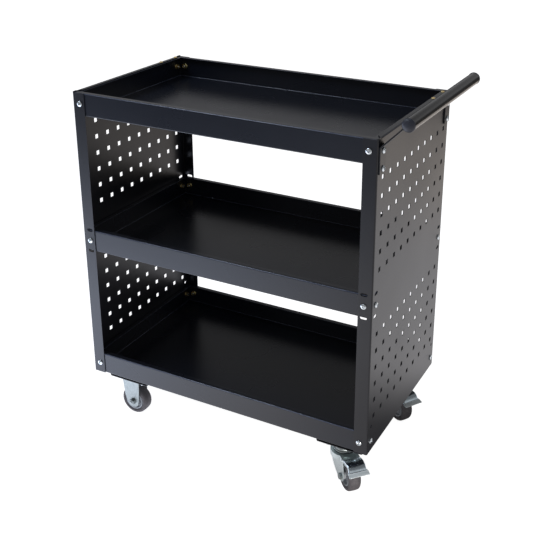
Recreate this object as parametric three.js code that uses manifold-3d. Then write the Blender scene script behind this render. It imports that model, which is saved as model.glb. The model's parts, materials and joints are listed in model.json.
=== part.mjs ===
// Three-tray tool cart with perforated side panels, a tubular push handle,
// two fixed casters and two swivel casters with brake pedals. Millimetres, +Z up.
// The cart is drawn with X from the left panel (0) to the right panel (700), Y from the front (0)
// to the rear (400) and Z up from the floor, then the whole is centred on its own box.
import * as THREE from 'three';
import { mergeVertices } from 'three/addons/utils/BufferGeometryUtils.js';
import Module from 'manifold-3d';

const wasm = await Module();
wasm.setup();

// ---- driving dimensions ----
const GAP = 0.3; // clearance kept between touching pieces
const SHEET = 1.5; // panel and tray steel

const BODY_LENGTH = 700;
const BODY_DEPTH = 400;
const BODY_HEIGHT = 680;
const BODY_Z = 125; // underside of the body above the floor

const BEND_RADIUS = 3;
const FLANGE_WIDTH = 30; // front and rear flanges of a side panel
const RIM_FLANGE_WIDTH = 11; // top flange of a side panel, over the top tray's hem
const RIM_FLANGE_INSET = 14; // where that flange starts, from the front and the rear
const RIM_MITRE = 12;

const HOLE = 10; // square perforation
const PITCH = 38;
const HOLE_COLUMNS = 10;
const HOLE_ROWS = 6;
const LOWER_GROUP_Z = 80; // lowest row of each group, above the underside of the body
const UPPER_GROUP_Z = 410;
const SLOT_LENGTH = 15;
const SLOT_HEIGHT = 7;
const SLOT_OFFSET = 25; // slots above and below the middle screws

const TRAY_HEIGHT = 50;
const HEM_WIDTH = 12.5;
const TRAY_CORNER = 1.2; // clears the bends of the side panels
const TRAY_LEVELS = {
  bottom: 0,
  middle: 313.5,
  top: BODY_HEIGHT - SHEET - GAP - TRAY_HEIGHT,
};
const SCREW_LEVELS = { bottom: 25, middle: 339, top: 655 };
const SCREW_INSET_X = 18; // front and rear screws, from the side panels' outer faces
const SCREW_INSET_Y = 17.5; // side screws, from the front and rear faces
const SPARE_HOLE_HEIGHT = 60; // second hole next to the corner, from the body's bottom or top edge
const SCREW_HOLE_RADIUS = 3.5;
const SCREW_SHANK_RADIUS = 3;
const SCREW_SHANK_LENGTH = 10;
const SCREW_HEAD_RADIUS = 6.2;
const SCREW_HEAD_HEIGHT = 3.3;

const CHANNEL_WIDTH = 108;
const CHANNEL_HEIGHT = 28;
const CHANNEL_SHEET = 2;
const CHANNEL_INSET = 31; // from the front and rear faces of the body

const TUBE_RADIUS = 12.5;
const TUBE_WALL = 1.5;
const TUBE_X = 753;
const TUBE_Z = 712; // above the underside of the body
const TUBE_CAP_LENGTH = 8;
const TUBE_CAP_RADIUS = 13.2;
const TUBE_PLUG_LENGTH = 16;
const STRAP_WIDTH = 28;
const STRAP_THICKNESS = 3;
const STRAP_BOTTOM = 611; // above the underside of the body
const STRAP_BEND = 663;

const LEFT_CASTER_X = 73;
const RIGHT_CASTER_X = 624;
const CASTER_INSET_Y = 59;
const WHEEL_RADIUS = 35;
const WHEEL_WIDTH = 28;
const TYRE_SHOULDER = 6;
const TYRE_SIDES = 24;
const HUB_RADIUS = 24;
const AXLE_RADIUS = 4;
const CASTER_HEIGHT = BODY_Z - CHANNEL_HEIGHT;
const AXLE_DROP = CASTER_HEIGHT - WHEEL_RADIUS; // axle below the channel
const PLATE_LENGTH = 80;
const PLATE_WIDTH = 48;
const PLATE_THICKNESS = 2.5;
const FIXED_CHEEK_INNER = 15;
const SWIVEL_CHEEK_INNER = 17.6;
const CHEEK_THICKNESS = 2.4;
const TRAIL = 32; // axle behind the swivel axis
const FRONT_YAW = -43;
const REAR_YAW = -33;
const NUT_ACROSS_FLATS = 13;
const NUT_HEIGHT = 6.5;
const BOLT_HEAD_HEIGHT = 5.3;
const WASHER_RADIUS = 8.4;
const WASHER_THICKNESS = 1.3;
const PEDAL_SHEET = 1.6;
const PEDAL_WIDTH = 39.6;
const PEDAL_GAP = 0.4; // pedal arms inside the fork cheeks
const LIP_WIDTH = 46;

// ---- materials ----
const coat = (color, roughness, metalness) =>
  new THREE.MeshStandardMaterial({ color, roughness, metalness });
const blackPowder = coat(0x2c2c2f, 0.45, 0.1);
const panelPowder = coat(0x3a3937, 0.4, 0.1);
const blackTube = coat(0x303032, 0.35, 0.1);
const capPlastic = coat(0x242426, 0.4, 0);
const zinc = coat(0xb9c2c6, 0.35, 0.9);
const brightZinc = coat(0xc9d2d6, 0.2, 1);
const tyreRubber = coat(0x55504c, 0.8, 0);
const hubPlastic = coat(0x7d8287, 0.55, 0);

// ---- solids ----
function toSolid(geometry) {
  const bare = geometry.clone();
  bare.deleteAttribute('normal');
  bare.deleteAttribute('uv');
  const merged = mergeVertices(bare, 1e-5);
  return new wasm.Manifold(
    new wasm.Mesh({
      numProp: 3,
      vertProperties: new Float32Array(merged.attributes.position.array),
      triVerts: new Uint32Array(merged.index.array),
    }),
  );
}

function toGeometry(solid) {
  const mesh = solid.getMesh();
  const geometry = new THREE.BufferGeometry();
  geometry.setAttribute('position', new THREE.BufferAttribute(mesh.vertProperties, 3));
  geometry.setIndex(new THREE.BufferAttribute(mesh.triVerts, 1));
  geometry.computeVertexNormals();
  return geometry;
}

const join = (geometries) =>
  toGeometry(geometries.map(toSolid).reduce((whole, piece) => whole.add(piece)));
const cut = (geometry, tools) =>
  toGeometry(tools.map(toSolid).reduce((rest, tool) => rest.subtract(tool), toSolid(geometry)));

// ---- outlines ----
const point = (x, y) => new THREE.Vector2(x, y);
const outline = (points) => new THREE.Shape(points);

function arc(cx, cy, radius, fromDeg, toDeg, steps) {
  const points = [];
  for (let i = 0; i <= steps; i += 1) {
    const angle = THREE.MathUtils.degToRad(fromDeg + ((toDeg - fromDeg) * i) / steps);
    points.push(point(cx + radius * Math.cos(angle), cy + radius * Math.sin(angle)));
  }
  return points;
}

const box2 = (x0, y0, x1, y1) => outline([point(x0, y0), point(x1, y0), point(x1, y1), point(x0, y1)]);
const disc = (cx, cy, radius, sides) => outline(arc(cx, cy, radius, 0, 360, sides).slice(0, -1));

function slot(cx, cy, length, height) {
  const radius = height / 2;
  const reach = length / 2 - radius;
  return outline([
    ...arc(cx + reach, cy, radius, -90, 90, 3),
    ...arc(cx - reach, cy, radius, 90, 270, 3),
  ]);
}

// An outline swept along one axis. Along X its own axes are Y and Z, along Y they are X and Z.
const sweep = (shape, depth) =>
  new THREE.ExtrudeGeometry(shape, { depth, bevelEnabled: false, curveSegments: 1 });
const X_AXIS = new THREE.Vector3(1, 0, 0);
const Y_AXIS = new THREE.Vector3(0, 1, 0);
const Z_AXIS = new THREE.Vector3(0, 0, 1);

const alongZ = (shape, from, to) => sweep(shape, to - from).translate(0, 0, from);
const alongX = (shape, from, to) =>
  sweep(shape, to - from)
    .applyMatrix4(new THREE.Matrix4().makeBasis(Y_AXIS, Z_AXIS, X_AXIS))
    .translate(from, 0, 0);
const alongY = (shape, from, to) =>
  sweep(shape, to - from)
    .applyMatrix4(new THREE.Matrix4().makeBasis(X_AXIS, Z_AXIS, Y_AXIS.clone().negate()))
    .translate(0, to, 0);

// A turned piece about the local Y axis. The profile's points are radius and height.
const turned = (profile, sides) =>
  new THREE.LatheGeometry(profile.map(([radius, height]) => point(radius, height)), sides);
const turnedRing = (profile, sides) => turned([...profile, profile[0]], sides);

// ---- assembly ----
const cart = new THREE.Group();
const body = new THREE.Group();
body.position.z = BODY_Z;
cart.add(body);

function addMesh(parent, name, geometry, material) {
  const mesh = new THREE.Mesh(geometry, material);
  mesh.name = name;
  parent.add(mesh);
  return mesh;
}

// ---- side panels ----
function panelPlan() {
  const inner = BEND_RADIUS - SHEET;
  return outline([
    point(FLANGE_WIDTH, 0),
    point(FLANGE_WIDTH, SHEET),
    ...arc(BEND_RADIUS, BEND_RADIUS, inner, 270, 180, 2),
    ...arc(BEND_RADIUS, BODY_DEPTH - BEND_RADIUS, inner, 180, 90, 2),
    point(FLANGE_WIDTH, BODY_DEPTH - SHEET),
    point(FLANGE_WIDTH, BODY_DEPTH),
    ...arc(BEND_RADIUS, BODY_DEPTH - BEND_RADIUS, BEND_RADIUS, 90, 180, 3),
    ...arc(BEND_RADIUS, BEND_RADIUS, BEND_RADIUS, 180, 270, 3),
  ]);
}

function rimFlange() {
  const plan = outline([
    point(SHEET / 2, RIM_FLANGE_INSET),
    point(RIM_FLANGE_WIDTH, RIM_FLANGE_INSET + RIM_MITRE),
    point(RIM_FLANGE_WIDTH, BODY_DEPTH - RIM_FLANGE_INSET - RIM_MITRE),
    point(SHEET / 2, BODY_DEPTH - RIM_FLANGE_INSET),
  ]);
  return alongZ(plan, BODY_HEIGHT - SHEET, BODY_HEIGHT);
}

function perforations() {
  const first = (BODY_DEPTH - (HOLE_COLUMNS - 1) * PITCH) / 2;
  const squares = [];
  for (const groupZ of [LOWER_GROUP_Z, UPPER_GROUP_Z]) {
    for (let row = 0; row < HOLE_ROWS; row += 1) {
      for (let column = 0; column < HOLE_COLUMNS; column += 1) {
        const y = first + column * PITCH;
        const z = groupZ + row * PITCH;
        squares.push(box2(y - HOLE / 2, z - HOLE / 2, y + HOLE / 2, z + HOLE / 2));
      }
    }
  }
  return squares;
}

const middleSlots = (along) =>
  [-SLOT_OFFSET, SLOT_OFFSET].map((offset) =>
    slot(along, SCREW_LEVELS.middle + offset, SLOT_LENGTH, SLOT_HEIGHT),
  );

function webHoles() {
  const shapes = perforations();
  const levels = [...Object.values(SCREW_LEVELS), SPARE_HOLE_HEIGHT, BODY_HEIGHT - SPARE_HOLE_HEIGHT];
  for (const y of [SCREW_INSET_Y, BODY_DEPTH - SCREW_INSET_Y]) {
    shapes.push(...levels.map((z) => disc(y, z, SCREW_HOLE_RADIUS, 8)));
    shapes.push(...middleSlots(y));
  }
  return shapes;
}

function flangeHoles() {
  const screws = Object.values(SCREW_LEVELS).map((z) => disc(SCREW_INSET_X, z, SCREW_HOLE_RADIUS, 8));
  return [...screws, ...middleSlots(SCREW_INSET_X)];
}

// Both side panels are the same part: the right one is turned half a turn about Z. The front and
// rear flanges stop level with the top tray's hem.
function sidePanel() {
  const folded = join([alongZ(panelPlan(), 0, BODY_HEIGHT), rimFlange()]);
  const hemLevel = BODY_HEIGHT - SHEET - GAP;
  const flangeTop = (y0, y1) =>
    alongZ(box2(BEND_RADIUS, y0, FLANGE_WIDTH + 1, y1), hemLevel, BODY_HEIGHT + 1);
  return cut(folded, [
    flangeTop(-1, SHEET + 1),
    flangeTop(BODY_DEPTH - SHEET - 1, BODY_DEPTH + 1),
    alongX(webHoles(), -1, SHEET + 1),
    alongY(flangeHoles(), -1, BODY_DEPTH + 1),
  ]);
}

addMesh(body, 'left_side_panel', sidePanel(), panelPowder);
const rightPanel = addMesh(body, 'right_side_panel', sidePanel(), panelPowder);
rightPanel.rotation.z = Math.PI;
rightPanel.position.set(BODY_LENGTH, BODY_DEPTH, 0);

// ---- trays ----
function tray(level, screwLevel) {
  const plan = (inset) => {
    const x0 = SHEET + GAP + inset;
    const x1 = BODY_LENGTH - x0;
    const y1 = BODY_DEPTH - x0;
    const corner = TRAY_CORNER;
    return outline([
      point(x0 + corner, x0),
      point(x1 - corner, x0),
      point(x1, x0 + corner),
      point(x1, y1 - corner),
      point(x1 - corner, y1),
      point(x0 + corner, y1),
      point(x0, y1 - corner),
      point(x0, x0 + corner),
    ]);
  };
  const top = level + TRAY_HEIGHT;
  const frontScrews = [SCREW_INSET_X, BODY_LENGTH - SCREW_INSET_X];
  const sideScrews = [SCREW_INSET_Y, BODY_DEPTH - SCREW_INSET_Y];
  const hole = (along) => disc(along, screwLevel, SCREW_HOLE_RADIUS, 8);
  return cut(alongZ(plan(0), level, top), [
    alongZ(plan(SHEET), level + SHEET, top - SHEET),
    alongZ(plan(HEM_WIDTH), top - SHEET - 1, top + 1),
    alongY(frontScrews.map(hole), 0, BODY_DEPTH),
    alongX(sideScrews.map(hole), 0, BODY_LENGTH),
  ]);
}

for (const [name, level] of Object.entries(TRAY_LEVELS)) {
  addMesh(body, `${name}_tray`, tray(level, SCREW_LEVELS[name]), blackPowder);
}

// ---- screws ----
function screw() {
  return turned(
    [
      [0, -SCREW_SHANK_LENGTH],
      [SCREW_SHANK_RADIUS, -SCREW_SHANK_LENGTH],
      [SCREW_SHANK_RADIUS, GAP],
      [SCREW_HEAD_RADIUS, GAP],
      [SCREW_HEAD_RADIUS, GAP + 1],
      [SCREW_HEAD_RADIUS - 2.2, GAP + SCREW_HEAD_HEIGHT - 0.3],
      [0, GAP + SCREW_HEAD_HEIGHT],
    ],
    8,
  );
}

function addScrew(name, place, turn) {
  const mesh = addMesh(body, name, screw(), brightZinc);
  mesh.position.set(...place);
  mesh.rotation.set(...turn);
}

const FACING_FRONT = [Math.PI, 0, 0];
const FACING_REAR = [0, 0, 0];
const FACING_LEFT = [0, 0, Math.PI / 2];
const FACING_RIGHT = [0, 0, -Math.PI / 2];
const STRAP_OUTER_X = BODY_LENGTH + GAP + STRAP_THICKNESS;

for (const [level, z] of Object.entries(SCREW_LEVELS)) {
  for (const [side, x] of [['left', SCREW_INSET_X], ['right', BODY_LENGTH - SCREW_INSET_X]]) {
    addScrew(`${level}_screw_front_${side}`, [x, 0, z], FACING_FRONT);
    addScrew(`${level}_screw_rear_${side}`, [x, BODY_DEPTH, z], FACING_REAR);
  }
  // The top screws of the right panel also hold the handle straps, and stand on them.
  const rightX = level === 'top' ? STRAP_OUTER_X : BODY_LENGTH;
  for (const [end, y] of [['front', SCREW_INSET_Y], ['rear', BODY_DEPTH - SCREW_INSET_Y]]) {
    addScrew(`${level}_screw_left_${end}`, [0, y, z], FACING_LEFT);
    addScrew(`${level}_screw_right_${end}`, [rightX, y, z], FACING_RIGHT);
  }
}

// ---- handle ----
// A strap lies on the panel, bends out at 45 degrees and is coped to the tube.
function strap(from) {
  const inner = BODY_LENGTH + GAP;
  const outer = STRAP_OUTER_X;
  const turn = STRAP_THICKNESS * Math.tan(Math.PI / 8);
  const reach = TUBE_X - inner;
  const side = outline([
    point(inner, STRAP_BOTTOM),
    point(outer, STRAP_BOTTOM),
    point(outer, STRAP_BEND - turn),
    point(outer + reach, STRAP_BEND - turn + reach),
    point(inner + reach, STRAP_BEND + reach),
    point(inner, STRAP_BEND),
  ]);
  const tubeRoom = disc(TUBE_X, TUBE_Z, TUBE_RADIUS + GAP, 24);
  const capRoom = disc(TUBE_X, TUBE_Z, TUBE_CAP_RADIUS + GAP, 24);
  const capEnd = TUBE_CAP_LENGTH + GAP;
  const beyond = box2(TUBE_X - 1, TUBE_Z - 40, TUBE_X + 40, TUBE_Z + 40);
  const holeLevels = [SCREW_LEVELS.top, BODY_HEIGHT - SPARE_HOLE_HEIGHT];
  const middle = from + STRAP_WIDTH / 2;
  return cut(alongY(side, from, from + STRAP_WIDTH), [
    alongY(tubeRoom, from - 1, from + STRAP_WIDTH + 1),
    alongY(capRoom, -1, capEnd),
    alongY(capRoom, BODY_DEPTH - capEnd, BODY_DEPTH + 1),
    alongY(beyond, from - 1, from + STRAP_WIDTH + 1),
    alongX(holeLevels.map((z) => disc(middle, z, SCREW_HOLE_RADIUS, 8)), inner - 1, outer + 1),
  ]);
}

const strapStarts = {
  front: SCREW_INSET_Y - STRAP_WIDTH / 2,
  rear: BODY_DEPTH - SCREW_INSET_Y - STRAP_WIDTH / 2,
};
for (const [end, from] of Object.entries(strapStarts)) {
  addMesh(body, `handle_strap_${end}`, strap(from), blackPowder);
  const place = [STRAP_OUTER_X, from + STRAP_WIDTH / 2, BODY_HEIGHT - SPARE_HOLE_HEIGHT];
  addScrew(`handle_screw_${end}`, place, FACING_RIGHT);
}

function placeOnTube(mesh, y) {
  mesh.position.set(TUBE_X, y, TUBE_Z);
}

const tubeHalf = BODY_DEPTH / 2 - TUBE_CAP_LENGTH - GAP;
const tube = turnedRing(
  [
    [TUBE_RADIUS, -tubeHalf],
    [TUBE_RADIUS, tubeHalf],
    [TUBE_RADIUS - TUBE_WALL, tubeHalf],
    [TUBE_RADIUS - TUBE_WALL, -tubeHalf],
  ],
  24,
);
placeOnTube(addMesh(body, 'handle_tube', tube, blackTube), BODY_DEPTH / 2);

// A plug cap: a domed button over the tube's end and a plug inside it.
function endCap() {
  const plug = TUBE_RADIUS - TUBE_WALL - GAP - 0.2;
  return turned(
    [
      [0, -TUBE_PLUG_LENGTH],
      [plug - 1, -TUBE_PLUG_LENGTH],
      [plug, -TUBE_PLUG_LENGTH + 3],
      [plug, 0],
      [TUBE_CAP_RADIUS, 0],
      [TUBE_CAP_RADIUS, 1.2],
      [TUBE_CAP_RADIUS - 0.8, 3.4],
      [TUBE_CAP_RADIUS - 3, 5.6],
      [TUBE_CAP_RADIUS - 6.7, 7.2],
      [0, TUBE_CAP_LENGTH],
    ],
    16,
  );
}

const frontCap = addMesh(body, 'handle_cap_front', endCap(), capPlastic);
placeOnTube(frontCap, TUBE_CAP_LENGTH);
frontCap.rotation.x = Math.PI;
placeOnTube(addMesh(body, 'handle_cap_rear', endCap(), capPlastic), BODY_DEPTH - TUBE_CAP_LENGTH);

// ---- caster channels under the bottom tray ----
function channel(centreX) {
  const half = CHANNEL_WIDTH / 2;
  const inner = half - CHANNEL_SHEET;
  const section = outline([
    point(centreX - half, -CHANNEL_HEIGHT),
    point(centreX + half, -CHANNEL_HEIGHT),
    point(centreX + half, -GAP),
    point(centreX + inner, -GAP),
    point(centreX + inner, -CHANNEL_HEIGHT + CHANNEL_SHEET),
    point(centreX - inner, -CHANNEL_HEIGHT + CHANNEL_SHEET),
    point(centreX - inner, -GAP),
    point(centreX - half, -GAP),
  ]);
  return alongY(section, CHANNEL_INSET, BODY_DEPTH - CHANNEL_INSET);
}

addMesh(body, 'left_caster_channel', channel(LEFT_CASTER_X), blackPowder);
addMesh(body, 'right_caster_channel', channel(RIGHT_CASTER_X), blackPowder);

// ---- casters ----
// A caster's own frame: the axle lies along Y through the origin, the trailing side is +X.
const PLATE_TOP = AXLE_DROP - GAP;
const PLATE_BOTTOM = PLATE_TOP - PLATE_THICKNESS;
const CROWN_TOP = AXLE_DROP - 17;
const CROWN_THICKNESS = 2.4;
const CROWN_RADIUS = 30;
const CROWN_SKIRT = 13; // height of the crown's round side wall
const CROWN_END = 8;
const RACE_RADIUS = 23;
const KINGPIN_RADIUS = 5;
const PEDAL_PIVOT = 38; // above the axle

const mountingPlate = (centreX) =>
  alongZ(
    box2(centreX - PLATE_LENGTH / 2, -PLATE_WIDTH / 2, centreX + PLATE_LENGTH / 2, PLATE_WIDTH / 2),
    PLATE_BOTTOM,
    PLATE_TOP,
  );

const cheekPair = (shape, inner) => [
  alongY(shape, -inner - CHEEK_THICKNESS, -inner),
  alongY(shape, inner, inner + CHEEK_THICKNESS),
];

const axleHole = () => alongY(disc(0, 0, AXLE_RADIUS + GAP, 12), -CROWN_RADIUS, CROWN_RADIUS);

function fixedFork() {
  const top = PLATE_BOTTOM + PLATE_THICKNESS / 2;
  const cheek = outline([
    point(-27, top),
    point(-22, 15),
    ...arc(0, 0, 16, 190, 350, 9),
    point(18, 15),
    point(19, top),
  ]);
  return cut(join([mountingPlate(0), ...cheekPair(cheek, FIXED_CHEEK_INNER)]), [axleHole()]);
}

// The swivel plate carries the upper bearing race and the riveted kingpin.
function swivelPlate() {
  const bearing = turned(
    [
      [0, CROWN_TOP - 8],
      [KINGPIN_RADIUS + 3, CROWN_TOP - 8],
      [KINGPIN_RADIUS + 3, CROWN_TOP - CROWN_THICKNESS - GAP],
      [KINGPIN_RADIUS, CROWN_TOP - CROWN_THICKNESS - GAP],
      [KINGPIN_RADIUS, CROWN_TOP + GAP],
      [RACE_RADIUS, CROWN_TOP + GAP],
      [RACE_RADIUS, CROWN_TOP + 5],
      [RACE_RADIUS - 4, PLATE_TOP - PLATE_THICKNESS / 2],
      [0, PLATE_TOP - PLATE_THICKNESS / 2],
    ],
    20,
  );
  bearing.rotateX(Math.PI / 2).translate(-TRAIL, 0, 0);
  return join([mountingPlate(-TRAIL), bearing]);
}

// A pressed fork: a round cup about the swivel axis, open towards the tyre, with two broad legs.
function swivelFork() {
  const inner = SWIVEL_CHEEK_INNER;
  const outer = inner + CHEEK_THICKNESS;
  const bottom = CROWN_TOP - CROWN_THICKNESS;
  const skirtEnd = CROWN_TOP - CROWN_SKIRT;
  const cup = cut(alongZ(disc(-TRAIL, 0, CROWN_RADIUS, 32), skirtEnd, CROWN_TOP), [
    alongZ(disc(-TRAIL, 0, CROWN_RADIUS - CROWN_THICKNESS, 32), skirtEnd - 1, bottom),
    alongZ(box2(-TRAIL, -inner, CROWN_END, inner), skirtEnd - 1, bottom),
  ]);
  const deck = alongZ(box2(-TRAIL, -outer, CROWN_END, outer), bottom, CROWN_TOP);
  const leg = outline([
    point(-52, CROWN_TOP - 1),
    point(-53, 17),
    point(-48, 7),
    point(-40, 0),
    point(-31, -5),
    point(-23, -10),
    ...arc(0, 0, 12, 255, 370, 6),
    point(CROWN_END, 34),
    point(CROWN_END, CROWN_TOP - 1),
  ]);
  const kingpinRoom = alongZ(disc(-TRAIL, 0, KINGPIN_RADIUS + 0.5, 12), bottom - 1, CROWN_TOP + 1);
  return cut(join([cup, deck, ...cheekPair(leg, inner)]), [kingpinRoom, axleHole()]);
}

// The faceted tread has a flat facet at the bottom, at the wheel's real radius.
function tyre() {
  const half = WHEEL_WIDTH / 2;
  const tread = WHEEL_RADIUS / Math.cos(Math.PI / TYRE_SIDES);
  const bulge = TYRE_SHOULDER * (1 - Math.SQRT1_2);
  const ring = turnedRing(
    [
      [HUB_RADIUS, -half + 1],
      [tread - TYRE_SHOULDER, -half],
      [tread - bulge, -half + bulge],
      [tread, -half + TYRE_SHOULDER],
      [tread, half - TYRE_SHOULDER],
      [tread - bulge, half - bulge],
      [tread - TYRE_SHOULDER, half],
      [HUB_RADIUS, half - 1],
    ],
    TYRE_SIDES,
  );
  return ring.rotateY(Math.PI / TYRE_SIDES);
}

function hub(cheekInner) {
  const bore = AXLE_RADIUS + GAP;
  const bossEnd = cheekInner - GAP;
  const rim = (HUB_RADIUS - GAP) * Math.cos(Math.PI / TYRE_SIDES);
  const rimHalf = WHEEL_WIDTH / 2 - 1;
  return turnedRing(
    [
      [bore, -bossEnd],
      [9, -bossEnd],
      [9, -5],
      [rim - 3.5, -5],
      [rim, -rimHalf],
      [rim, rimHalf],
      [rim - 3.5, 5],
      [9, 5],
      [9, bossEnd],
      [bore, bossEnd],
    ],
    TYRE_SIDES,
  );
}

const hexagon = (acrossFlats) => disc(0, 0, acrossFlats / Math.sqrt(3), 6);

// A hexagon nut on its washer, outside a cheek on the -Y side.
function axleNut(cheekInner) {
  const seat = cheekInner + CHEEK_THICKNESS + GAP;
  const nut = join([
    alongY(hexagon(NUT_ACROSS_FLATS), -seat - WASHER_THICKNESS - NUT_HEIGHT, -seat),
    alongY(disc(0, 0, WASHER_RADIUS, 16), -seat - WASHER_THICKNESS, -seat),
  ]);
  return cut(nut, [alongY(disc(0, 0, AXLE_RADIUS + GAP, 12), -seat - 20, -seat + 1)]);
}

// The fixed casters' bolt has its head on the +Y side and a loose nut on the -Y side. The swivel
// casters' bolt has its head on the -Y side and a thin lock nut peened onto its other end.
function axleBolt(cheekInner, withLockNut) {
  const seat = cheekInner + CHEEK_THICKNESS + GAP;
  const tip = seat + WASHER_THICKNESS + NUT_HEIGHT + 1.5;
  const pieces = [
    alongY(disc(0, 0, AXLE_RADIUS, 10), -tip, seat + 1),
    alongY(hexagon(NUT_ACROSS_FLATS), seat, seat + BOLT_HEAD_HEIGHT),
  ];
  if (withLockNut) {
    pieces.push(alongY(hexagon(NUT_ACROSS_FLATS), -seat - 5, -seat));
  }
  const bolt = join(pieces);
  return withLockNut ? bolt.rotateZ(Math.PI) : bolt;
}

function addWheel(caster, name, cheekInner, withLockNut) {
  addMesh(caster, `${name}_tyre`, tyre(), tyreRubber);
  addMesh(caster, `${name}_hub`, hub(cheekInner), hubPlastic);
  addMesh(caster, `${name}_axle_bolt`, axleBolt(cheekInner, withLockNut), zinc);
}

function addFixedCaster(name, y, nutSide) {
  const caster = new THREE.Group();
  caster.position.set(LEFT_CASTER_X, y, WHEEL_RADIUS);
  caster.rotation.z = nutSide === 'front' ? 0 : Math.PI;
  cart.add(caster);
  addMesh(caster, `${name}_fork`, fixedFork(), zinc);
  addWheel(caster, name, FIXED_CHEEK_INNER, false);
  addMesh(caster, `${name}_axle_nut`, axleNut(FIXED_CHEEK_INNER), zinc);
}

// The brake pedal turns on a pin between the fork's legs: two arms beside the tyre carry a hump
// with turned-down edges, which ends in a wide lip for the foot.
function brakePedal() {
  const half = PEDAL_WIDTH / 2;
  const armOuter = SWIVEL_CHEEK_INNER - PEDAL_GAP;
  const hump = [
    point(CROWN_END + 1.5, 45.8),
    point(16, 48.4),
    point(26, 49.5),
    point(34, 48.2),
    point(40, 43.4),
    point(43, 37.3),
  ];
  const lowered = (points, drop) => points.map((p) => point(p.x, p.y - drop));
  const underside = [...hump].reverse().map((p) => point(p.x - PEDAL_SHEET * 0.7, p.y - PEDAL_SHEET));
  const lip = outline([
    point(41.2, 38.3),
    point(43, 37.3),
    point(47.5, 35.6),
    point(54.5, 35),
    point(54.5, 35 - PEDAL_SHEET),
    point(47.5, 35.6 - PEDAL_SHEET),
    point(42, 35.3),
  ]);
  const arm = outline([
    ...arc(0, PEDAL_PIVOT, 4.3, 90, 270, 5),
    point(22, 37),
    point(38, 41),
    ...lowered(hump.slice(1, 5).reverse(), 0.8),
    point(9.5, 42.2),
  ]);
  const edge = outline([
    point(11.5, 42),
    ...lowered(hump.slice(1, 5), 5),
    ...lowered(hump.slice(1, 5).reverse(), 0.8),
    point(11.5, 45.8),
  ]);
  const pinRoom = alongY(disc(0, PEDAL_PIVOT, 2.3, 8), -half, half);
  const pedal = join([
    alongY(outline([...hump, ...underside].reverse()), -half, half),
    alongY(lip, -LIP_WIDTH / 2, LIP_WIDTH / 2),
    alongY(arm, -armOuter, -armOuter + PEDAL_SHEET),
    alongY(arm, armOuter - PEDAL_SHEET, armOuter),
    alongY(edge, -half, -half + PEDAL_SHEET),
    alongY(edge, half - PEDAL_SHEET, half),
  ]);
  return cut(pedal, [pinRoom]);
}

function addSwivelCaster(name, y, yawDeg) {
  const swivel = new THREE.Group();
  swivel.position.set(RIGHT_CASTER_X, y, WHEEL_RADIUS);
  swivel.rotation.z = THREE.MathUtils.degToRad(yawDeg);
  cart.add(swivel);
  const caster = new THREE.Group();
  caster.position.x = TRAIL;
  swivel.add(caster);
  addMesh(caster, `${name}_fork`, swivelFork(), zinc);
  addWheel(caster, name, SWIVEL_CHEEK_INNER, true);
  addMesh(caster, `${name}_brake_pedal`, brakePedal(), brightZinc);
  const plate = addMesh(cart, `${name}_swivel_plate`, swivelPlate(), zinc);
  plate.position.set(RIGHT_CASTER_X + TRAIL, y, WHEEL_RADIUS);
}

addFixedCaster('front_left_caster', CASTER_INSET_Y, 'front');
addFixedCaster('rear_left_caster', BODY_DEPTH - CASTER_INSET_Y, 'rear');
addSwivelCaster('front_right_caster', CASTER_INSET_Y, FRONT_YAW);
addSwivelCaster('rear_right_caster', BODY_DEPTH - CASTER_INSET_Y, REAR_YAW);

// ---- origin: the middle of the box around the cart, on the floor ----
cart.updateMatrixWorld(true);
const bounds = new THREE.Box3().setFromObject(cart, true);
const centre = bounds.getCenter(new THREE.Vector3());
cart.position.set(-centre.x, -centre.y, -bounds.min.z);

export default cart;
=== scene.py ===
import json
import math

import bpy
from mathutils import Matrix, Vector
from mathutils.geometry import delaunay_2d_cdt


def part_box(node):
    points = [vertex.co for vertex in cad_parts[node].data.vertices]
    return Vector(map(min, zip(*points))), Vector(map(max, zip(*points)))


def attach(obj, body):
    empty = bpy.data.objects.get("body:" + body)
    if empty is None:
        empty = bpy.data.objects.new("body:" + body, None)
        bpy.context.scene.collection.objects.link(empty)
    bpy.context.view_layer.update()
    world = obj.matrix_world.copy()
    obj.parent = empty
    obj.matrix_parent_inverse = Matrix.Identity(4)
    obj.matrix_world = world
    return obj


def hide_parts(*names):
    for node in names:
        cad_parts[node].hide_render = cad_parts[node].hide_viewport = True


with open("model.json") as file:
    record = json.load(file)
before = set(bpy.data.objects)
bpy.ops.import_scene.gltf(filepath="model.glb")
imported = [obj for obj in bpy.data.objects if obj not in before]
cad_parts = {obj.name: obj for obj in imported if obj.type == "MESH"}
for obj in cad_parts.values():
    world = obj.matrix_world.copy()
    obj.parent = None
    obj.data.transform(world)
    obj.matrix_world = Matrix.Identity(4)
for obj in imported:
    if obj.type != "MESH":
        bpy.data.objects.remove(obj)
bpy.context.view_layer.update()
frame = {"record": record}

MM = 0.001
BODY = "cart_body"

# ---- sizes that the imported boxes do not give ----
SHEET = 1.5
PANEL_BEND = 3.0
PANEL_FLANGE = 30
RIM_FLANGE = 11  # the side panels' top flange
RIM_FLANGE_START = 14
RIM_MITRE = 10
RELIEF = 1  # cut beside each end of the top flange
HEM_LEVEL = 1.8  # the top hem and the posts' flanges, below the panels' top

HOLE = 10
PITCH = 38
HOLE_COLUMNS = 10
HOLE_ROWS = 6
HOLE_GROUPS = (80, 410)
SPARE_HOLES = (60, 620)
SPARE_HOLE_RADIUS = 3.5
SLOT_OFFSET = 25
SLOT_SIZE = (15, 7)

SCREW_LEVELS = {"bottom": 25, "middle": 339, "top": 655}
SCREW_INSET = 18
SIDE_SCREW_INSET = 17.5
SCREW_HEAD = 3.3
SCREW_GAP = 0.3
NUT_GAP = 0.1
RIVETS_BACK = (87, 27)
RIVET_INSET = 6.8

TRAY_HEM = 12.5
TRAY_BEND = 2.6
TRAY_CORNER = 2.2

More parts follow.
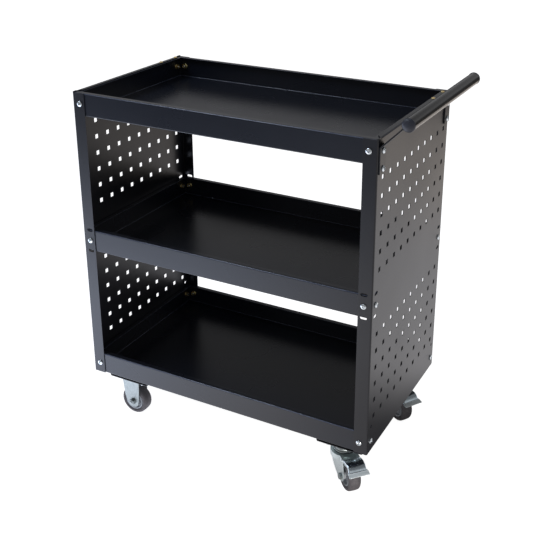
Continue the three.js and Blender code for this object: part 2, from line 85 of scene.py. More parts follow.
TUBE_RADIUS = 12.5
TUBE_WALL = 1.5
CAP_LENGTH = 8
CAP_DOME = 6.8
STRAP_THICKNESS = 3
STRAP_BEND_LEVEL = 663
CHANNEL_SHEET = 2

WHEEL_RADIUS = 35
WHEEL_HALF = 14
SWIVEL_TRAIL = 32
FIXED_CHEEK_INNER = 15
SWIVEL_CHEEK_INNER = 17.6
CHEEK_THICKNESS = 2.4
PLATE_THICKNESS = 2.5
PLATE_HOLE_INSET = (9, 8)
SHANK_RADIUS = 3.95
PEDAL_PIVOT = 38
PEDAL_SHEET = 1.6
PEDAL_HALF = 19.8
LIP_HALF = 23
LIP_START = 44
LIP_TOP = 38


class Box:
    """A CAD node's box, or the box around several nodes, in millimetres."""

    def __init__(self, *nodes):
        lows, highs = zip(*(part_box(node) for node in nodes))
        self.low = Vector([min(values) for values in zip(*lows)]) / MM
        self.high = Vector([max(values) for values in zip(*highs)]) / MM
        self.centre = (self.low + self.high) / 2
        self.size = self.high - self.low


shell = Box("left_side_panel", "right_side_panel")
LEFT, FRONT, BOTTOM = shell.low
RIGHT, REAR, TOP = shell.high
DEPTH = shell.size.y
HEIGHT = shell.size.z

# ==============================
# Materials
# ==============================


def add_node(tree, kind, inputs=None, **settings):
    """A shader node. inputs maps its sockets to fixed values, or to the outputs they are linked to."""
    node = tree.nodes.new(f"ShaderNode{kind}")
    for name, value in settings.items():
        setattr(node, name, value)
    for socket, value in (inputs or {}).items():
        if isinstance(value, bpy.types.NodeSocket):
            tree.links.new(value, node.inputs[socket])
        else:
            node.inputs[socket].default_value = value
    return node


def value_range(tree, value, low, high, to_low=0.0, to_high=1.0, how="SMOOTHSTEP"):
    sockets = {"Value": value, "From Min": low, "From Max": high, "To Min": to_low, "To Max": to_high}
    return add_node(tree, "MapRange", sockets, interpolation_type=how).outputs["Result"]


class Shader:
    """One material with a principled shader, and short ways to add what varies over the surface."""

    def __init__(self, name, **values):
        self.material = bpy.data.materials.new(name)
        self.material.use_nodes = True
        self.tree = self.material.node_tree
        self.bsdf = self.tree.nodes["Principled BSDF"]
        self.coords = add_node(self.tree, "TexCoord").outputs["Object"]
        for socket, value in values.items():
            self.bsdf.inputs[socket.replace("_", " ")].default_value = value

    def noise(self, scale, detail, roughness=0.55, stretch=(1, 1, 1)):
        spot = add_node(self.tree, "Mapping", {"Vector": self.coords, "Scale": stretch}).outputs["Vector"]
        sockets = {"Vector": spot, "Scale": scale, "Detail": detail, "Roughness": roughness}
        return add_node(self.tree, "TexNoise", sockets).outputs["Fac"]

    def cells(self, scale):
        return add_node(self.tree, "TexVoronoi", {"Vector": self.coords, "Scale": scale}).outputs["Color"]

    def bends(self):
        """1 on the rounded bends that face up, 0 on flat faces: the mask of the powder coat's painted
        highlight.
        """
        normal = add_node(self.tree, "NewGeometry").outputs["Normal"]
        up = add_node(self.tree, "SeparateXYZ", {"Vector": normal}).outputs["Z"]
        return self.ramp(up, (0.2, 0.0), (0.45, 1.0), (0.85, 1.0), (0.98, 0.0))

    def ramp(self, value, *stops):
        """Colours or grey levels over a value: stops are (position, colour)."""
        node = add_node(self.tree, "ValToRGB", {"Fac": value})
        elements = node.color_ramp.elements
        while len(elements) < len(stops):
            elements.new(0.5)
        for element, (position, colour) in zip(elements, stops):
            element.position = position
            element.color = (*colour, 1) if isinstance(colour, tuple) else (colour, colour, colour, 1)
        return node.outputs["Color"]

    def spread(self, value, low, high, to_low=0.0, to_high=1.0):
        return value_range(self.tree, value, low, high, to_low, to_high, "LINEAR")

    def drift(self, scale, detail, low, high):
        """A level that wanders between two values."""
        return self.spread(self.noise(scale, detail), 0.3, 0.7, low, high)

    def blend(self, factor, first, second):
        """Mixes two colours, each a fixed one or an output."""
        ends = [(*end, 1) if isinstance(end, tuple) else end for end in (first, second)]
        sockets = {"Factor": factor, 6: ends[0], 7: ends[1]}
        return add_node(self.tree, "Mix", sockets, data_type="RGBA").outputs[2]

    def finish(self, colour, gloss, height=None, strength=0.0, depth=0.0):
        """Links colour, roughness and, where there is a height, a bump of that depth in millimetres."""
        self.tree.links.new(colour, self.bsdf.inputs["Base Color"])
        self.tree.links.new(gloss, self.bsdf.inputs["Roughness"])
        if height is not None:
            sockets = {"Height": height, "Strength": strength, "Distance": depth * MM}
            bump = add_node(self.tree, "Bump", sockets)
            self.tree.links.new(bump.outputs["Normal"], self.bsdf.inputs["Normal"])
        return self.material


def powder_coat(name, dark, light, rough, painted_highlight=None):
    """Satin black powder coat: fine orange peel, faint clouding and a few lighter specks of dust.
    On bends that face up the colour is painted lighter, a painted highlight, and the coat is glossier there."""
    highlight_gloss = 0.15
    coat = Shader(name)
    base = coat.blend(coat.spread(coat.noise(5, 3), 0.35, 0.65), dark, light)
    specks = coat.ramp(coat.noise(900, 2), (0.0, 0.0), (0.72, 0.0), (0.8, 1.0))
    base = coat.blend(coat.spread(specks, 0, 1, 0, 0.3), base, (0.07, 0.07, 0.075))
    gloss = coat.drift(4, 2, *rough)
    if painted_highlight:
        # painted highlight: the bends that face up get a lighter base colour and a lower roughness
        bends = coat.bends()
        base = coat.blend(bends, base, painted_highlight)
        gloss = coat.blend(bends, gloss, (highlight_gloss,) * 3)
    return coat.finish(base, gloss, coat.noise(900, 2), 0.06, 0.15)


def zinc(name, colour, shade, rough, grain=420, metallic=1.0):
    """Zinc plating on pressed steel: pale blue-grey crystals, clouding and a faint rolled grain."""
    coat = Shader(name, Metallic=metallic)
    crystals = coat.blend(0.25, coat.noise(260, 4), coat.cells(grain))
    base = coat.blend(coat.spread(crystals, 0.2, 0.8), shade, colour)
    return coat.finish(base, coat.drift(140, 4, *rough), coat.noise(900, 3, stretch=(1, 1, 0.25)), 0.12, 0.12)


def yellow_zinc(name, metallic, pink, gold, green):
    """Yellow chromate: gold with a pink and green drift."""
    coat = Shader(name, Metallic=metallic)
    base = coat.ramp(coat.noise(220, 3), (0.3, pink), (0.5, gold), (0.7, green))
    return coat.finish(base, coat.drift(400, 2, 0.25, 0.4))


def rubber():
    """Grey-black tread rubber: scuffed on the tread, with dust in the pores."""
    coat = Shader("tyre_rubber", Specular_IOR_Level=0.35)
    wear = coat.spread(coat.noise(120, 5, 0.65), 0.35, 0.7)
    base = coat.blend(wear, (0.062, 0.057, 0.061), (0.105, 0.097, 0.101))
    dust = coat.spread(coat.noise(1500, 2), 0.55, 0.75, 0, 0.5)
    base = coat.blend(dust, base, (0.22, 0.20, 0.20))
    return coat.finish(base, coat.drift(300, 3, 0.55, 0.8), coat.noise(1400, 3), 0.25, 0.2)


def plastic(name, dark, light, rough):
    """Moulded plastic with a fine spark-eroded texture."""
    coat = Shader(name)
    base = coat.blend(coat.spread(coat.noise(60, 4), 0.35, 0.65), dark, light)
    return coat.finish(base, coat.drift(200, 3, *rough), coat.noise(1100, 2), 0.12, 0.15)


def weld():
    """A painted-over weld bead: coarser ripples under the same black coat."""
    coat = Shader("weld_paint")
    base = coat.blend(coat.spread(coat.noise(200, 3), 0.4, 0.6), (0.012, 0.012, 0.013), (0.03, 0.03, 0.032))
    return coat.finish(base, coat.drift(300, 3, 0.3, 0.5), coat.noise(500, 3), 0.5, 0.4)


# The last colour given to the tray and panel coats is their painted highlight on up-facing bends.
TRAY_COAT = powder_coat(
    "tray_powder", (0.0080, 0.0100, 0.0170), (0.0100, 0.0122, 0.0195), (0.25, 0.31), (0.085, 0.100, 0.150))
PANEL_COAT = powder_coat(
    "panel_powder", (0.0090, 0.0098, 0.0140), (0.0115, 0.0122, 0.0165), (0.29, 0.35), (0.050, 0.054, 0.070))
FRAME_COAT = powder_coat("frame_powder", (0.0085, 0.0092, 0.0125), (0.0110, 0.0116, 0.0150), (0.32, 0.40))
TUBE_COAT = powder_coat("tube_powder", (0.0090, 0.0085, 0.0090), (0.0115, 0.0110, 0.0112), (0.17, 0.23))
CAP_PLASTIC = plastic("cap_plastic", (0.024, 0.027, 0.040), (0.034, 0.038, 0.054), (0.34, 0.46))
HUB_PLASTIC = plastic("hub_plastic", (0.24, 0.26, 0.28), (0.36, 0.38, 0.40), (0.40, 0.55))
ZINC = zinc("blue_zinc", (0.74, 0.80, 0.80), (0.52, 0.60, 0.62), (0.26, 0.42))
DULL_ZINC = zinc("dull_zinc", (0.36, 0.385, 0.375), (0.24, 0.27, 0.27), (0.36, 0.52))
SCREW_ZINC = zinc("bright_zinc", (0.82, 0.86, 0.88), (0.62, 0.68, 0.72), (0.14, 0.28), 900)
CHROME = zinc("bright_plate", (0.78, 0.88, 0.92), (0.60, 0.70, 0.78), (0.16, 0.30), 300)
# The pedal's foot lip: plated steel, painted near white and mostly not metallic, a painted reflection of the
# bright floor in its plating
LIP_PAINTED_REFLECTION = zinc("lip_painted_reflection", (0.90, 0.97, 0.98), (0.78, 0.86, 0.88), (0.34, 0.46), 500, 0.25)
GOLD = yellow_zinc("yellow_zinc", 1.0, (0.62, 0.42, 0.16), (0.80, 0.62, 0.28), (0.60, 0.60, 0.30))
BRASS = yellow_zinc("rivet_brass", 0.1, (0.95, 0.62, 0.24), (1.00, 0.78, 0.38), (0.90, 0.80, 0.42))
RUBBER = rubber()
WELD = weld()

# ==============================
# Mesh making. A part is (points, faces), in millimetres.
# ==============================

TOLERANCE = 1e-4


def axes(x, y, z, origin=(0, 0, 0)):
    """The matrix that takes local X, Y, Z to these directions and the local origin to this place."""
    matrix = Matrix((x, y, z)).transposed().to_4x4()
    matrix.translation = Vector(origin)
    return matrix


def facing(direction, origin):
    """Local +Z turned to a direction."""
    return Matrix.Translation(origin) @ Vector(direction).to_track_quat("Z", "Y").to_matrix().to_4x4()


UPRIGHT = axes((1, 0, 0), (0, 0, 1), (0, -1, 0))  # an outline drawn in X and Z, extruded towards -Y
ALONG_Y = axes((1, 0, 0), (0, 0, -1), (0, 1, 0))  # turned pieces: local Z along +Y


def moved(part, matrix):
    return [tuple(matrix @ Vector(point)) for point in part[0]], part[1]


def joined(*parts):
    points, faces = [], []
    for part_points, part_faces in parts:
        start = len(points)
        points += part_points
        faces += [tuple(i + start for i in face) for face in part_faces]
    return points, faces


def weigh_normals(piece):
    weighted = piece.modifiers.new("normals", "WEIGHTED_NORMAL")
    weighted.weight = 100
    weighted.keep_sharp = True


def add_piece(name, part, material, body=BODY, place=None, stands_for=(),
              thickness=0, bevel=0, sharp=40):
    """A mesh piece that rides on a body. place is a matrix, baked into the points, and stands_for
    names the CAD nodes that the piece replaces."""
    points, faces = moved(part, place) if place else part
    mesh = bpy.data.meshes.new(name)
    mesh.from_pydata([(x * MM, y * MM, z * MM) for x, y, z in points], [], faces)
    mesh.validate()
    mesh.update()
    mesh.materials.append(material)
    piece = bpy.data.objects.new(name, mesh)
    bpy.context.scene.collection.objects.link(piece)
    mesh.shade_smooth()
    if thickness:
        solid = piece.modifiers.new("sheet", "SOLIDIFY")
        solid.thickness = thickness * MM
        solid.offset = -1
        solid.use_even_offset = True
    if bevel:
        rounding = piece.modifiers.new("edges", "BEVEL")
        rounding.width = bevel * MM
        rounding.segments = 2
        rounding.limit_method = "ANGLE"
        rounding.angle_limit = math.radians(sharp)
        rounding.harden_normals = False
        weigh_normals(piece)
    else:
        mesh.set_sharp_from_angle(angle=math.radians(sharp))
    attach(piece, body)
    if stands_for:
        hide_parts(*stands_for)
    return piece


def arc(cx, cy, radius, start, end, steps):
    """Points of an arc in a plane, angles in degrees."""
    angles = [math.radians(start + (end - start) * i / steps) for i in range(steps + 1)]
    return [(cx + radius * math.cos(angle), cy + radius * math.sin(angle)) for angle in angles]


def circle(cx, cy, radius, steps=24):
    return arc(cx, cy, radius, 0, 360, steps)[:-1]


def rectangle(x0, y0, x1, y1):
    return [(x0, y0), (x1, y0), (x1, y1), (x0, y1)]


def slot_outline(cx, cy, length, height):
    reach = (length - height) / 2
    return [*arc(cx + reach, cy, height / 2, -90, 90, 8), *arc(cx - reach, cy, height / 2, 90, 270, 8)]


def round_corners(corners, radii, steps=6):
    """A closed outline with each corner rounded to its own radius."""
    rounded = []
    for i, (corner, radius) in enumerate(zip(corners, radii)):
        here = Vector(corner)
        if radius == 0:
            rounded.append(tuple(here))
            continue
        before = (Vector(corners[i - 1]) - here).normalized()
        after = (Vector(corners[(i + 1) % len(corners)]) - here).normalized()
        half = before.angle(after) / 2
        reach = radius / math.tan(half)
        centre = here + (before + after).normalized() * (radius / math.sin(half))
        first = here + before * reach - centre
        last = here + after * reach - centre
        turn = first.angle_signed(last)
        for k in range(steps + 1):
            rounded.append(tuple(centre + Matrix.Rotation(-turn * k / steps, 2) @ first))
    return rounded


def bezier(points, steps):
    """A smooth curve through control points, by the Bernstein form."""
    order = len(points) - 1
    curve = []
    for i in range(steps + 1):
        t = i / steps
        weights = [math.comb(order, k) * t**k * (1 - t) ** (order - k) for k in range(order + 1)]
        curve.append(tuple(sum(w * p[axis] for w, p in zip(weights, points)) for axis in (0, 1)))
    return curve


def inside(spot, loop):
    """Whether a point of the plane is inside a closed outline."""
    x, y = spot
    hit = False
    for (x0, y0), (x1, y1) in zip(loop, (*loop[1:], loop[0])):
        if (y0 > y) != (y1 > y) and x < x0 + (y - y0) * (x1 - x0) / (y1 - y0):
            hit = not hit
    return hit


def fill(outline, holes=(), folds=()):
    """Flat points and faces that fill an outline around its holes. Faces don't cross the folds."""
    points, edges = [], []
    for loop in (outline, *holes):
        start, count = len(points), len(loop)
        points += [Vector(point) for point in loop]
        edges += [(start + i, start + (i + 1) % count) for i in range(count)]
    for fold in folds:
        edges.append((len(points), len(points) + 1))
        points += [Vector(point) for point in fold]
    flat, _, faces, _, _, _ = delaunay_2d_cdt(points, edges, [], 0, TOLERANCE)
    kept = []
    for face in faces:
        centre = sum((flat[i] for i in face), Vector((0, 0))) / len(face)
        if inside(centre, outline) and not any(inside(centre, hole) for hole in holes):
            kept.append(tuple(face))
    return flat, kept


def extrude(outline, depth, holes=()):
    """A plate from an outline in its own XY plane, from z = 0 to depth, with holes cut through."""
    flat, faces = fill(outline, holes)
    count = len(flat)
    points = [(x, y, z) for z in (0, depth) for x, y in flat]
    top = [tuple(i + count for i in face) for face in faces]
    bottom = [tuple(reversed(face)) for face in faces]
    borders = dict.fromkeys(pair for face in faces for pair in zip(face, (*face[1:], face[0])))
    walls = [(a, b, b + count, a + count) for a, b in borders if (b, a) not in borders]
    return points, [*bottom, *top, *walls]


def upright_plate(outline, y_from, y_to, holes=()):
    """A plate standing in the XZ plane between two Y values."""
    return moved(extrude(outline, y_to - y_from, holes), Matrix.Translation((0, y_to, 0)) @ UPRIGHT)


def loft(rings, loop=False, caps=False):
    """A surface through rings of points. A ring of one point closes an end, loop joins the last ring
    to the first, and caps close both ends with a flat face."""
    points = [point for ring in rings for point in ring]
    numbered = []
    start = 0
    for ring in rings:
        numbered.append(range(start, start + len(ring)))
        start += len(ring)
    faces = [tuple(reversed(numbered[0])), tuple(numbered[-1])] if caps else []
    pairs = list(zip(numbered, numbered[1:])) + ([(numbered[-1], numbered[0])] if loop else [])
    for lower, upper in pairs:
        count = max(len(lower), len(upper))
        for k in range(count):
            n = (k + 1) % count
            if len(lower) == 1:
                faces.append((lower[0], upper[n], upper[k]))
            elif len(upper) == 1:
                faces.append((lower[k], lower[n], upper[0]))
            else:
                faces.append((lower[k], lower[n], upper[n], upper[k]))
    return points, faces


def lathe(profile, segments=48, hexagonal=()):
    """Turned about local Z. profile is (radius, height); rings listed in hexagonal follow a hexagon
    whose flats are at that radius. A radius of 0 closes the end; otherwise the profile is a loop."""
    rings = []
    for index, (radius, height) in enumerate(profile):
        ring = []
        for k in range(segments if radius else 1):
            angle = 2 * math.pi * k / segments
            reach = radius
            if index in hexagonal:
                reach /= math.cos((angle + math.pi / 6) % (math.pi / 3) - math.pi / 6)
            ring.append((reach * math.cos(angle), reach * math.sin(angle), height))
        rings.append(ring)
    return loft(rings, loop=profile[0][0] != 0)


# ==============================
# Side panels. The blank is unrolled around the outer skin: s runs along the skin from the front
# flange's edge, and v is height.
# ==============================

FLAT = PANEL_FLANGE - PANEL_BEND
BEND = PANEL_BEND * math.pi / 2
BLANK = 2 * (FLAT + BEND) + DEPTH - 2 * PANEL_BEND
RIM = HEIGHT - PANEL_BEND


def along(y):
    """Where a depth on the panel's web lies on the blank."""
    return FLAT + BEND + y - PANEL_BEND


FLAP_START = along(RIM_FLANGE_START)


def panel_outline():
    """The blank's outline: two posts, and between them the flap that folds over at the top."""
    post = HEIGHT - HEM_LEVEL
    half = [
        (0, 0),
        (0, post),
        (FLAT, post),
        (FLAT, HEIGHT),
        (FLAP_START - RELIEF, HEIGHT),
        (FLAP_START - RELIEF, RIM - RELIEF),
        (FLAP_START, RIM - RELIEF),
        (FLAP_START, RIM),
        (FLAP_START, RIM + PANEL_BEND),
        (FLAP_START + RIM_MITRE, RIM + BEND + RIM_FLANGE - PANEL_BEND),
    ]
    return [*[(BLANK - s, v) for s, v in half], *reversed(half)]


def panel_holes():
    holes = []
    first = (DEPTH - (HOLE_COLUMNS - 1) * PITCH) / 2
    for group in HOLE_GROUPS:
        for row in range(HOLE_ROWS):
            for column in range(HOLE_COLUMNS):
                s, v = along(first + column * PITCH), group + row * PITCH
                holes.append(rectangle(s - HOLE / 2, v - HOLE / 2, s + HOLE / 2, v + HOLE / 2))
    flange_line = PANEL_FLANGE - SCREW_INSET
    web_lines = (along(SIDE_SCREW_INSET), along(DEPTH - SIDE_SCREW_INSET))
    for s in (flange_line, BLANK - flange_line, *web_lines):
        for offset in (-SLOT_OFFSET, SLOT_OFFSET):
            holes.append(slot_outline(s, SCREW_LEVELS["middle"] + offset, *SLOT_SIZE))
    return holes + [circle(s, v, SPARE_HOLE_RADIUS, 16) for s in web_lines for v in SPARE_HOLES]


def fold_over(s, v):
    """Where a point of the blank goes: (inward, along Y, height)."""
    if s > BLANK / 2:
        inward, y, v = fold_over(BLANK - s, v)
        return inward, DEPTH - y, v
    if s < FLAT:
        return PANEL_FLANGE - s, 0, v
    if s < FLAT + BEND:
        angle = (s - FLAT) / PANEL_BEND
        return PANEL_BEND * (1 - math.sin(angle)), PANEL_BEND * (1 - math.cos(angle)), v
    y = s - FLAT - BEND + PANEL_BEND
    if v <= RIM or s < FLAP_START - RELIEF / 2:
        return 0, y, v
    angle = min((v - RIM) / PANEL_BEND, math.pi / 2)
    inward = PANEL_BEND * (1 - math.cos(angle)) + max(0, v - RIM - BEND)
    return inward, y, RIM + PANEL_BEND * math.sin(angle)


def panel_mesh():
    """The folded skin, as (inward, y, height) points and faces."""
    steps = 6
    folds = []
    for step in range(steps + 1):
        turn = BEND * step / steps
        folds += [((s, 0), (s, HEIGHT)) for s in (FLAT + turn, BLANK - FLAT - turn)]
        folds.append(((FLAP_START, RIM + turn), (BLANK - FLAP_START, RIM + turn)))
    flat, faces = fill(panel_outline(), panel_holes(), folds)
    return [fold_over(*point) for point in flat], faces


skin, skin_faces = panel_mesh()
for node, wall, direction in (("left_side_panel", LEFT, 1), ("right_side_panel", RIGHT, -1)):
    points = [(wall + direction * inward, FRONT + y, BOTTOM + v) for inward, y, v in skin]
    faces = [face[::-1] for face in skin_faces] if direction > 0 else skin_faces
    add_piece(f"{node}_skin", (points, faces), PANEL_COAT,
              stands_for=[node], thickness=SHEET, bevel=0.3, sharp=50)

# ==============================
# Trays
# ==============================


def tray_ring(box, inset, z):
    """A rounded rectangle at a height, set in from the box."""
    radius = max(TRAY_CORNER - inset, 0.05)
    x0, y0 = box.low.x + inset + radius, box.low.y + inset + radius
    x1, y1 = box.high.x - inset - radius, box.high.y - inset - radius
    corners = ((x1, y0, -90), (x1, y1, 0), (x0, y1, 90), (x0, y0, 180))
    return [(x, y, z) for cx, cy, start in corners for x, y in arc(cx, cy, radius, start, start + 90, 5)]


def add_tray(node):
    """A folded pan with rounded bends and an inward hem along its top edge."""
    box = Box(node)
    height = box.size.z
    edge = 0.4
    inner_bend = TRAY_BEND - SHEET
    profile = [
        *arc(TRAY_BEND, TRAY_BEND, TRAY_BEND, 270, 180, 5),
        *arc(TRAY_BEND, height - TRAY_BEND, TRAY_BEND, 180, 90, 5),
        (TRAY_HEM - edge, height),
        (TRAY_HEM, height - edge),
        (TRAY_HEM, height - SHEET + edge),
        (TRAY_HEM - edge, height - SHEET),
        *arc(TRAY_BEND, height - TRAY_BEND, inner_bend, 90, 180, 4),
        *arc(TRAY_BEND, TRAY_BEND, inner_bend, 180, 270, 4),
    ]
    rings = [tray_ring(box, inset, box.low.z + z) for inset, z in profile]
    pan = add_piece(f"{node}_pan", loft(rings, caps=True), TRAY_COAT,
                    stands_for=[node], sharp=50)
    weigh_normals(pan)


for tray in ("bottom_tray", "middle_tray", "top_tray"):
    add_tray(tray)

# ==============================
# Screws, nuts and rivets
# ==============================

SIDES = {
    "front": (FRONT, (0, -1, 0)),
    "rear": (REAR, (0, 1, 0)),
    "left": (LEFT, (-1, 0, 0)),
    "right": (RIGHT, (1, 0, 0)),
}


def button_screw():
    """A button-head screw: local +Z out of its head, the seat at z = 0."""
    head, rim, shank, tip, socket = 6.2, 0.7, 2.9, -10, 2.3
    floor = SCREW_HEAD - 2.0
    dome = [(head * math.cos(math.radians(a)), rim + (SCREW_HEAD - rim) * math.sin(math.radians(a)))
            for a in (0, 12, 24, 36, 48, 58, 66)]
    profile = [
        (0, tip), (shank - 0.7, tip), (shank, tip + 0.7), (shank, -0.2), (head - 0.2, 0), (head, 0.2),
        *dome,
        (socket + 0.1, SCREW_HEAD - 0.12), (socket, SCREW_HEAD - 0.3), (socket, floor), (0, floor - 0.5),
    ]
    count = len(profile)
    return lathe(profile, 48, (count - 4, count - 3, count - 2))


def flange_nut():
    """A serrated flange nut: local +Z away from its seat, with a threaded bore left open."""
    bore, flats = 2.95, 5.0
    return lathe([
        (bore, 0), (6.8, 0), (7.0, 0.3), (6.6, 1.0), (flats + 0.55, 1.5), (flats, 1.7), (flats, 5.0),
        (flats - 0.1, 5.6), (bore + 0.6, 6.0), (bore, 5.6),
    ], 48, (5, 6))


def rivet():
    """The domed head of a rivet on its seat at z = 0, with a dimple in the middle."""
    return lathe([
        (0, -1.4), (1.6, -1.4), (1.6, 0), (4.3, 0), (4.4, 0.5), (3.7, 1.6), (2.0, 2.3), (1.4, 1.8), (0, 1.6),
    ], 32)


def add_screw(node, side, nut_depth):
    """Stands for a CAD screw, with its nut at a depth behind the panel's outer face."""
    box = Box(node)
    wall, outward = SIDES[side]
    way = Vector(outward)
    seat = Vector([c + w * s / 2 for c, w, s in zip(box.centre, way, box.size)]) - way * SCREW_HEAD
    add_piece(f"{node}_button", button_screw(), SCREW_ZINC,
              place=facing(way, seat), stands_for=[node], sharp=35)
    axis = 0 if way.x else 1
    seat[axis] = wall - way[axis] * nut_depth
    add_piece(f"{node}_nut", flange_nut(), GOLD, place=facing(-way, seat), sharp=35)


for level in SCREW_LEVELS:
    for side in SIDES:
        ends = ("left", "right") if side in ("front", "rear") else ("front", "rear")
        for end in ends:
            add_screw(f"{level}_screw_{side}_{end}", side, 2 * SHEET + SCREW_GAP + NUT_GAP)
for end in ("front", "rear"):
    add_screw(f"handle_screw_{end}", "right", SHEET + NUT_GAP)

for side, inward in (("left", 1), ("right", -1)):
    for index, back in enumerate(RIVETS_BACK):
        spot = (SIDES[side][0] + inward * RIVET_INSET, REAR - back, TOP)
        add_piece(f"rivet_{side}_{index}", rivet(), BRASS, place=facing((0, 0, 1), spot))

# ==============================
# Handle and caster channels
# ==============================

tube_box = Box("handle_tube")
cap_boxes = {end: Box(f"handle_cap_{end}") for end in ("front", "rear")}
AXIS_X, AXIS_Z = tube_box.centre.x, tube_box.centre.z


def add_handle_tube():
    outer, inner, edge = TUBE_RADIUS, TUBE_RADIUS - TUBE_WALL, 0.3
    low, high = tube_box.low.y, tube_box.high.y
    profile = [
        (outer - edge, low), (outer, low + edge), (outer, high - edge), (outer - edge, high),
        (inner + edge, high), (inner, high - edge), (inner, low + edge), (inner + edge, low),
    ]
    place = Matrix.Translation((AXIS_X, 0, AXIS_Z)) @ ALONG_Y
    add_piece("handle_tube_round", lathe(profile, 96), TUBE_COAT,
              place=place, stands_for=["handle_tube"])


def add_cap(end, outward):
    """A plug in the tube's end, with a domed head."""
    box = cap_boxes[end]
    radius = box.size.x / 2
    tip = box.low.y if outward < 0 else box.high.y
    profile = [
        (0, -24), (9, -24), (10.2, -21), (10.2, -CAP_LENGTH), (radius - 0.4, -CAP_LENGTH),
        (radius, -CAP_LENGTH + 0.4),
        *[(radius * x, CAP_DOME * (y - 1)) for x, y in arc(0, 0, 1, 0, 84, 14)], (0, 0),
    ]
    place = facing((0, outward, 0), (AXIS_X, tip, AXIS_Z))
    add_piece(f"handle_cap_{end}_round", lathe(profile, 64), CAP_PLASTIC,
              place=place, stands_for=[f"handle_cap_{end}"], sharp=50)


def add_bar(node, section):
    """A bar along Y in a CAD node's place, from its section in X and Z."""
    box = Box(node)
    add_piece(f"{node}_bar", upright_plate(section, box.low.y, box.high.y), FRAME_COAT,
              stands_for=[node], bevel=0.35)


def strap_outline():
    """The strap's side view: flat on the panel, a rounded bend, then 45 degrees out to the tube."""
    box = Box("handle_strap_front")
    inner, outer = box.low.x, box.low.x + STRAP_THICKNESS
    bend = BOTTOM + STRAP_BEND_LEVEL
    slope = STRAP_THICKNESS * math.tan(math.pi / 8)
    diagonal = AXIS_X - inner - 0.7 * TUBE_RADIUS - 0.7
    corners = [
        (inner, box.low.z),
        (outer, box.low.z),
        (outer, bend - slope),
        (outer + diagonal, bend - slope + diagonal),
        (inner + diagonal, bend + diagonal),
        (inner, bend),
    ]
    return round_corners(corners, (0, 0, 4, 0, 0, 7))


def add_welds(end):
    """A rippled bead on each side of the strap where it meets the tube."""
    box = Box(f"handle_strap_{end}")
    clear = CAP_LENGTH + 1
    low = max(box.low.y, cap_boxes["front"].low.y + clear)
    high = min(box.high.y, cap_boxes["rear"].high.y - clear)
    steps = 60
    for index, degrees in enumerate((206, 244)):
        angle = math.radians(degrees)
        cx = AXIS_X + (TUBE_RADIUS + 0.1) * math.cos(angle)
        cz = AXIS_Z + (TUBE_RADIUS + 0.1) * math.sin(angle)
        rings = []
        for i in range(steps + 1):
            ripple = 1.5 * (0.82 + 0.18 * math.sin(i * 1.25))
            taper = min(1, 0.35 + 0.13 * min(i, steps - i))
            y = low + (high - low) * i / steps
            rings.append([(x, y, z) for x, z in reversed(circle(cx, cz, ripple * taper, 10))])
        add_piece(f"handle_weld_{end}_{index}", loft(rings, caps=True), WELD, sharp=60)


def channel_section(node):
    """A U-channel, open upwards, with rounded bends."""
    box = Box(node)
    x0, x1, z0, z1 = box.low.x, box.high.x, box.low.z, box.high.z
    sheet = CHANNEL_SHEET
    corners = [(x0, z0), (x1, z0), (x1, z1), (x1 - sheet, z1), (x1 - sheet, z0 + sheet),
               (x0 + sheet, z0 + sheet), (x0 + sheet, z1), (x0, z1)]
    return round_corners(corners, (4, 4, 0, 0, 2, 2, 0, 0))


add_handle_tube()
add_cap("front", -1)
add_cap("rear", 1)
for end in ("front", "rear"):
    add_bar(f"handle_strap_{end}", strap_outline())
    add_welds(end)
for side in ("left", "right"):
    add_bar(f"{side}_caster_channel", channel_section(f"{side}_caster_channel"))

# ==============================
# Casters. Local frame: origin on the axle, +X the trailing side, +Y along the axle, +Z up.
# ==============================

AXLE_DROP = Box("left_caster_channel").low.z - WHEEL_RADIUS
PLATE_BOTTOM = AXLE_DROP - 0.3 - PLATE_THICKNESS
CROWN_TOP = AXLE_DROP - 17
CROWN_BOTTOM = CROWN_TOP - 2.4
CROWN_RADIUS = 30
CROWN_SKIRT = 13
CROWN_END = 8


def symmetric(side):
    """A turned profile, from its half at positive heights listed from the bore or axis outward."""
    return [*[(radius, -height) for radius, height in side], *reversed(side)]


def tyre_mesh():
    """A round-shouldered tread with a moulding line, and side walls that step in to the hub."""
    half, radius, inner, shoulder = WHEEL_HALF, WHEEL_RADIUS, 24, 6.5
    side = [
        (inner, half - 2.0), (inner + 0.6, half - 1.2), (inner + 2.5, half - 0.4), (inner + 3.2, half - 0.05),
        *arc(radius - 0.35 - shoulder, half - shoulder, shoulder, 78, 8, 8),
        (radius - 0.1, 3), (radius, 0.35),
    ]
    return moved(lathe(symmetric(side), 128), ALONG_Y)


def hub_mesh(cheek_inner):
    """A moulded hub: rim, dished web with a raised ring, and a boss around the bore."""
    half, rim, boss = WHEEL_HALF, 23.7, cheek_inner - 0.3
    side = [
        (4.3, boss), (7.0, boss), (7.6, boss - 0.6), (8.6, half - 6), (9.6, half - 7), (17.0, half - 7.5),
        (18.6, half - 6.8), (20.4, half - 1.6), (21.0, half - 1.0), (rim - 0.5, half - 1.2),
        (rim, half - 1.9),
    ]
    return moved(lathe(symmetric(side), 96), ALONG_Y)


